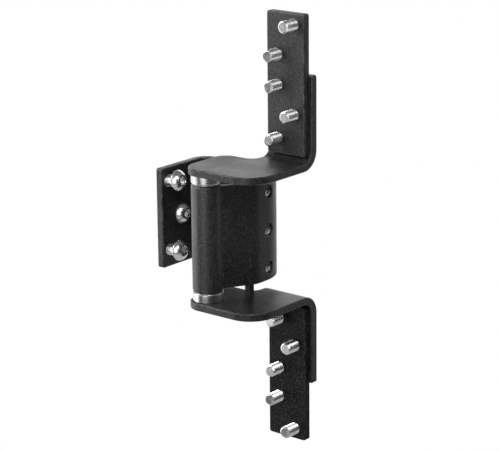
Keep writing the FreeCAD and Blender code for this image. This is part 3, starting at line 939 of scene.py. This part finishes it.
class HingeWelds(Operator):
    """Lay the rippled beads between the barrel and the leaf"""
    bl_idname = "hinge.lay_welds"
    bl_label = "Lay Welds"

    def execute(self, context):
        material = coat_material(context.scene.hinge_coat, "Weld Coat")
        for side, node in enumerate(("outer_weld", "inner_weld")):
            bm = bmesh.new()
            lay_bead(bm, side, corner(node, 1).z, context.scene.hinge_welds)
            finished(bm, node + "_bead", node, material)
        return {"FINISHED"}


# Stage


def floor_disc(height, radius):
    """Round floor, made of one face, that faces up."""
    bm = bmesh.new()
    bmesh.ops.create_circle(bm, cap_ends=True, segments=96, radius=radius)
    bmesh.ops.translate(bm, verts=bm.verts, vec=(0, 0, height))
    mesh = bpy.data.meshes.new("floor")
    bm.to_mesh(mesh)
    bm.free()
    floor = bpy.data.objects.new("floor", mesh)
    bpy.context.scene.collection.objects.link(floor)
    return floor


def floor_material(colour, radius):
    """Pale floor that camera and gloss see nearly white, with a soft shadow that fades out at the rim."""
    material, tree, shader = new_material("Pale Floor")
    shader.inputs["Base Color"].default_value = (*colour, 1.0)
    shader.inputs["Roughness"].default_value = 0.9
    shader.inputs["Specular IOR Level"].default_value = 0.0
    path = tree.nodes.new("ShaderNodeLightPath")
    strength = math_node(tree, "ADD", path.outputs["Is Camera Ray"],
                         math_node(tree, "MULTIPLY", path.outputs["Is Glossy Ray"], FLOOR_GLOW))
    glow = add_node(tree, "ShaderNodeEmission", {"Color": (1.0, 1.0, 1.0, 1.0)}, {"Strength": strength})
    away = add_node(tree, "ShaderNodeVectorMath", operation="LENGTH")
    tree.links.new(add_node(tree, "ShaderNodeTexCoord").outputs["Object"], away.inputs[0])
    fade = span_node(tree, away.outputs["Value"], 0.4 * radius, 0.95 * radius, 0.82, 1.0, smooth=True)
    seen = math_node(tree, "ADD", math_node(tree, "MULTIPLY", path.outputs["Is Camera Ray"], fade),
                     path.outputs["Is Glossy Ray"])
    blend = tree.nodes.new("ShaderNodeMixShader")
    tree.links.new(seen, blend.inputs["Fac"])
    tree.links.new(shader.outputs["BSDF"], blend.inputs[1])
    tree.links.new(glow.outputs["Emission"], blend.inputs[2])
    output = [node for node in tree.nodes if node.type == "OUTPUT_MATERIAL"][0]
    tree.links.new(blend.outputs["Shader"], output.inputs["Surface"])
    return material


def facing_node(tree, direction, axis):
    """Cosine between the world direction and an axis."""
    node = add_node(tree, "ShaderNodeVectorMath", operation="DOT_PRODUCT")
    tree.links.new(direction, node.inputs[0])
    node.inputs[1].default_value = axis
    return node.outputs["Value"]


def light_room(world, ambient):
    """White backdrop behind the hinge, a window to its right and a dim room elsewhere, seen in gloss."""
    world.use_nodes = True
    tree = world.node_tree
    tree.nodes.clear()
    direction = add_node(tree, "ShaderNodeTexCoord").outputs["Generated"]
    behind = facing_node(tree, direction, BEHIND)
    height = facing_node(tree, direction, UPRIGHT)
    sideways = facing_node(tree, direction, LEFT)
    window = span_node(tree, height, *SILL_SPAN, WINDOW_SILL, WINDOW_WHITE, smooth=True)
    backdrop = span_node(tree, sideways, *WINDOW_SPAN, window, BACKDROP_WHITE, smooth=True)
    walls = span_node(tree, behind, *WALL_SPAN, ROOM_DIM, backdrop, smooth=True)
    room = span_node(tree, height, *CEILING_SPAN, walls, CEILING_DIM, smooth=True)
    gloss = span_node(tree, height, *GROUND_SPAN, GROUND_GLOW, room, smooth=True)
    path = tree.nodes.new("ShaderNodeLightPath")
    other = math_node(tree, "SUBTRACT", 1.0, path.outputs["Is Glossy Ray"])
    level = math_node(tree, "ADD", math_node(tree, "MULTIPLY", gloss, path.outputs["Is Glossy Ray"]),
                      math_node(tree, "MULTIPLY", other, ambient))
    strength = math_node(tree, "MAXIMUM", level, path.outputs["Is Camera Ray"])
    background = add_node(tree, "ShaderNodeBackground", {"Color": (1.0, 1.0, 1.0, 1.0)},
                          {"Strength": strength})
    output = tree.nodes.new("ShaderNodeOutputWorld")
    tree.links.new(background.outputs["Background"], output.inputs["Surface"])


def soft_light(name, place, target, width, height, radiance, spread):
    """Rectangular softbox of a given radiance that faces the target and isn't seen by the camera."""
    light = bpy.data.lights.new(name, "AREA")
    light.shape = "RECTANGLE"
    light.size = width
    light.size_y = height
    light.energy = radiance * math.pi * width * height
    light.spread = math.radians(spread)
    lamp = bpy.data.objects.new(name, light)
    lamp.location = place
    lamp.rotation_euler = (Vector(target) - Vector(place)).to_track_quat("-Z", "Y").to_euler()
    lamp.visible_camera = False
    bpy.context.scene.collection.objects.link(lamp)


SOFTBOXES = (
    # name, place, target, width, height, radiance, spread in degrees
    ("Key", (-0.226, 0.292, 0.289), (0.04, -0.03, 0.13), 0.22, 0.22, 1.9, 70),
    ("Fill", (-0.32, 0.39, -0.05), (0.0, 0.0, -0.05), 0.30, 0.14, 0.5, 180),
    ("Fill Foot", (-0.32, 0.39, -0.155), (0.0, 0.0, -0.155), 0.30, 0.07, 2.3, 180),
    ("Fill Base", (-0.32, 0.39, -0.2225), (0.0, 0.0, -0.2225), 0.30, 0.065, 1.2, 180),
    ("Strip", (-0.431, -0.129, 0.13), (0.0, 0.0, 0.13), 0.30, 0.50, 1.95, 180),
    ("Strip Foot", (-0.431, -0.129, -0.165), (0.0, 0.0, -0.04), 0.30, 0.09, 0.1, 180),
    ("Front", (-0.45, -0.55, 0.75), (0.0, 0.0, 0.0), 0.40, 0.40, 5.5, 180),
    ("Right", (0.15, -0.58, 0.27), (0.0, 0.0, 0.0), 0.20, 0.20, 1.0, 180),
)


class HingeStage(Operator):
    """Set the floor, the lights and the camera"""
    bl_idname = "hinge.set_stage"
    bl_label = "Set Stage"

    def execute(self, context):
        settings = context.scene.hinge_stage
        scene = context.scene
        lowest = min(corner(node, 0).z for node in NODES)
        floor = floor_disc(lowest - settings.drop, settings.floor_radius)
        dress(floor, floor_material(settings.floor_colour, settings.floor_radius))
        scene.world = scene.world or bpy.data.worlds.new("Room")
        light_room(scene.world, settings.ambient)
        for softbox in SOFTBOXES:
            soft_light(*softbox)
        view = bpy.data.cameras.new("Camera")
        view.sensor_width = 36.0
        view.lens = settings.lens / MM
        camera = bpy.data.objects.new("Camera", view)
        turn = (Matrix.Rotation(settings.heading - math.pi / 2, 3, "Z")
                @ Matrix.Rotation(math.pi / 2 - settings.pitch, 3, "X")
                @ Matrix.Rotation(settings.roll, 3, "Z"))
        camera.matrix_world = Matrix.Translation(settings.eye) @ turn.to_4x4()
        scene.collection.objects.link(camera)
        scene.camera = camera
        scene.view_settings.view_transform = "Standard"
        return {"FINISHED"}


OPERATORS = (HingePlates, HingeBarrel, HingePivots, HingeStrapScrews, HingeDoorScrews, HingeAdjusters,
             HingeWelds, HingeStage)


class HingePanel(Panel):
    """Buttons that build the hinge's finish, piece by piece"""
    bl_idname = "VIEW3D_PT_hinge"
    bl_label = "Concealed Hinge"
    bl_space_type = "VIEW_3D"
    bl_region_type = "UI"
    bl_category = "Hinge"

    def draw(self, context):
        column = self.layout.column(align=True)
        for operator in OPERATORS:
            column.operator(operator.bl_idname)
        for name, group in SETTINGS.items():
            box = self.layout.box()
            settings = getattr(context.scene, name)
            for field in group.__annotations__:
                box.prop(settings, field)


def register():
    """Register the settings, the operators and the panel."""
    for name, group in SETTINGS.items():
        bpy.utils.register_class(group)
        setattr(bpy.types.Scene, name, PointerProperty(type=group))
    for cls in OPERATORS + (HingePanel,):
        bpy.utils.register_class(cls)


def unregister():
    """Take away what register added, in the opposite order."""
    for cls in reversed(OPERATORS + (HingePanel,)):
        bpy.utils.unregister_class(cls)
    for name, group in reversed(SETTINGS.items()):
        delattr(bpy.types.Scene, name)
        bpy.utils.unregister_class(group)


def main():
    """Build every piece and the stage."""
    register()
    bpy.ops.hinge.coat_plates()
    bpy.ops.hinge.coat_barrel()
    bpy.ops.hinge.finish_pivots()
    bpy.ops.hinge.build_strap_screws()
    bpy.ops.hinge.build_door_screws()
    bpy.ops.hinge.build_adjusters()
    bpy.ops.hinge.lay_welds()
    bpy.ops.hinge.set_stage()


if __name__ == "__main__":
    main()
